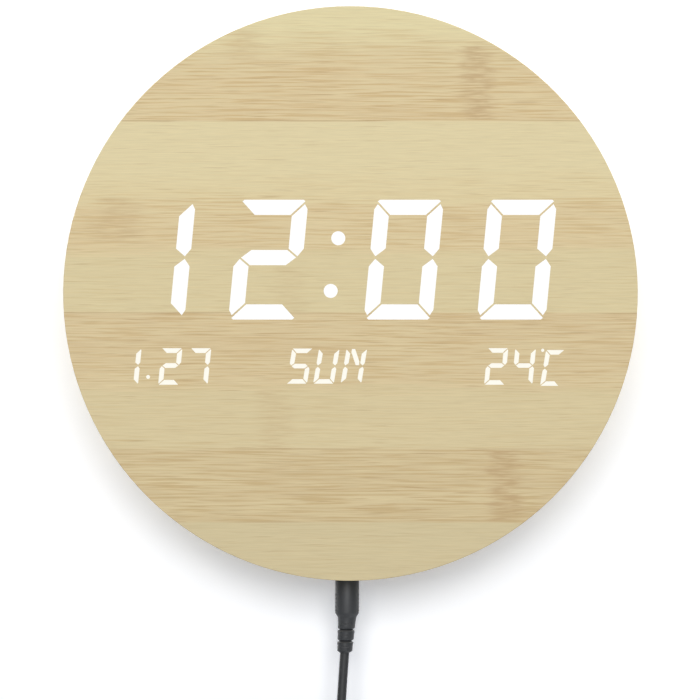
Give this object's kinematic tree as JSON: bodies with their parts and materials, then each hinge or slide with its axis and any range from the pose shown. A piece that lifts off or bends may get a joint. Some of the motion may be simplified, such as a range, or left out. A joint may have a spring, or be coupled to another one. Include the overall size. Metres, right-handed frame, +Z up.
{
  "type": "alarm clock",
  "caption": "Round wall-hung digital alarm clock with a bamboo face, lit segments, rear controls and a plug-in lead.",
  "frame": {"origin": "centre of the keyhole hanger's round entry, on the outer face of the rear cover", "axes": "+Z up, +Y from the face back towards the wall, +X to the right seen from the front"},
  "size_m": [0.25, 0.035, 0.4243],
  "materials": {
    "bamboo_veneer": "satin bamboo-grain veneer",
    "lit_window": "lit white",
    "lit_window_warm": "lit warm white",
    "fibreboard": "raw fibreboard",
    "milky_film": "milky film",
    "white_plastic": "moulded white",
    "circuit_board": "green solder mask",
    "led_package": "white package, yellow phosphor",
    "chip_epoxy": "black epoxy",
    "capacitor_can": "drawn can",
    "sensor_bead": "dipped bead",
    "black_plastic": "moulded black",
    "gold_contact": "gilt",
    "bright_metal": "nickel plated",
    "zinc_screw": "zinc plated",
    "black_screw": "black oxide",
    "cover_plastic": "fine spark texture",
    "button_plastic": "satin moulded",
    "bumper_rubber": "soft rubber",
    "cell_steel": "bright can",
    "wire_red": "hook-up wire",
    "plug_vinyl": "moulded vinyl",
    "cord_vinyl": "extruded vinyl",
    "tie_strap": "woven strap"
  },
  "bodies": {
    "clock_body": {"alarm_buzzer": "black_plastic", "battery_leads": "wire_red", "capacitors": "capacitor_can", "case_ring": "fibreboard", "cell_contact": "gold_contact", "clock_crystal": "bright_metal", "coin_cell": "cell_steel", "control_board": "circuit_board", "control_screws": "zinc_screw", "cover_screws": "black_screw", "diffuser_sheet": "milky_film", "display_board": "circuit_board", "display_screws": "zinc_screw", "driver_chips": "chip_epoxy", "edge_veneer": "bamboo_veneer", "face_board": "fibreboard", "face_veneer": "bamboo_veneer", "hanger_plate": "bright_metal", "hanger_screws": "zinc_screw", "header_pins": "gold_contact", "header_strip": "black_plastic", "inlet_body": "black_plastic", "inlet_leads": "wire_red", "inlet_pin": "bright_metal", "lit_colon": "lit_window", "lit_date": "lit_window_warm", "lit_temperature": "lit_window_warm", "lit_time_digits": "lit_window", "lit_weekday": "lit_window_warm", "microphone": "bright_metal", "processor_chip": "chip_epoxy", "push_switches": "bright_metal", "rear_cover": "cover_plastic", "reflector_block": "white_plastic", "row_leds": "led_package", "sound_switch_body": "bright_metal", "temperature_sensor": "sensor_bead", "time_leds": "led_package", "voltage_regulator": "chip_epoxy", "wall_bumpers": "bumper_rubber"},
    "sound_switch": {"sound_switch_knob": "black_plastic"},
    "battery_cap": {"battery_door": "cover_plastic"},
    "power_lead": {"plug_barrel": "bright_metal", "plug_body": "plug_vinyl", "power_cord": "cord_vinyl", "cord_coil": "cord_vinyl", "cord_tail": "cord_vinyl", "cord_tie": "tie_strap", "usb_plug_body": "plug_vinyl", "usb_shell": "bright_metal", "usb_tongue": "white_plastic", "usb_contacts": "gold_contact"},
    "push_set": {"button_set": "button_plastic", "switch_stem_set": "black_plastic"},
    "push_up": {"button_up": "button_plastic", "switch_stem_up": "black_plastic"},
    "push_down": {"button_down": "button_plastic", "switch_stem_down": "black_plastic"}
  },
  "joints": [
    {"name": "press_set", "type": "slide", "parent": "clock_body", "child": "push_set", "axis": [0, -1, 0], "range_m": [0, 0.0005], "stiffness_N_per_m": 1200, "springref_m": -0.0005},
    {"name": "press_up", "type": "slide", "parent": "clock_body", "child": "push_up", "axis": [0, -1, 0], "range_m": [0, 0.0005], "stiffness_N_per_m": 1200, "springref_m": -0.0005},
    {"name": "press_down", "type": "slide", "parent": "clock_body", "child": "push_down", "axis": [0, -1, 0], "range_m": [0, 0.0005], "stiffness_N_per_m": 1200, "springref_m": -0.0005},
    {"name": "sound_slide", "type": "slide", "parent": "clock_body", "child": "sound_switch", "axis": [1, 0, 0], "range_m": [0, 0.002]},
    {"name": "battery_twist", "type": "hinge", "parent": "clock_body", "child": "battery_cap", "pos_m": [0.066, 0, -0.12], "axis": [0, 1, 0], "range_deg": [0, 30]},
    {"name": "plug_pull", "type": "slide", "parent": "clock_body", "child": "power_lead", "axis": [0, 0, -1], "range_m": [0, 0.011]}
  ]
}
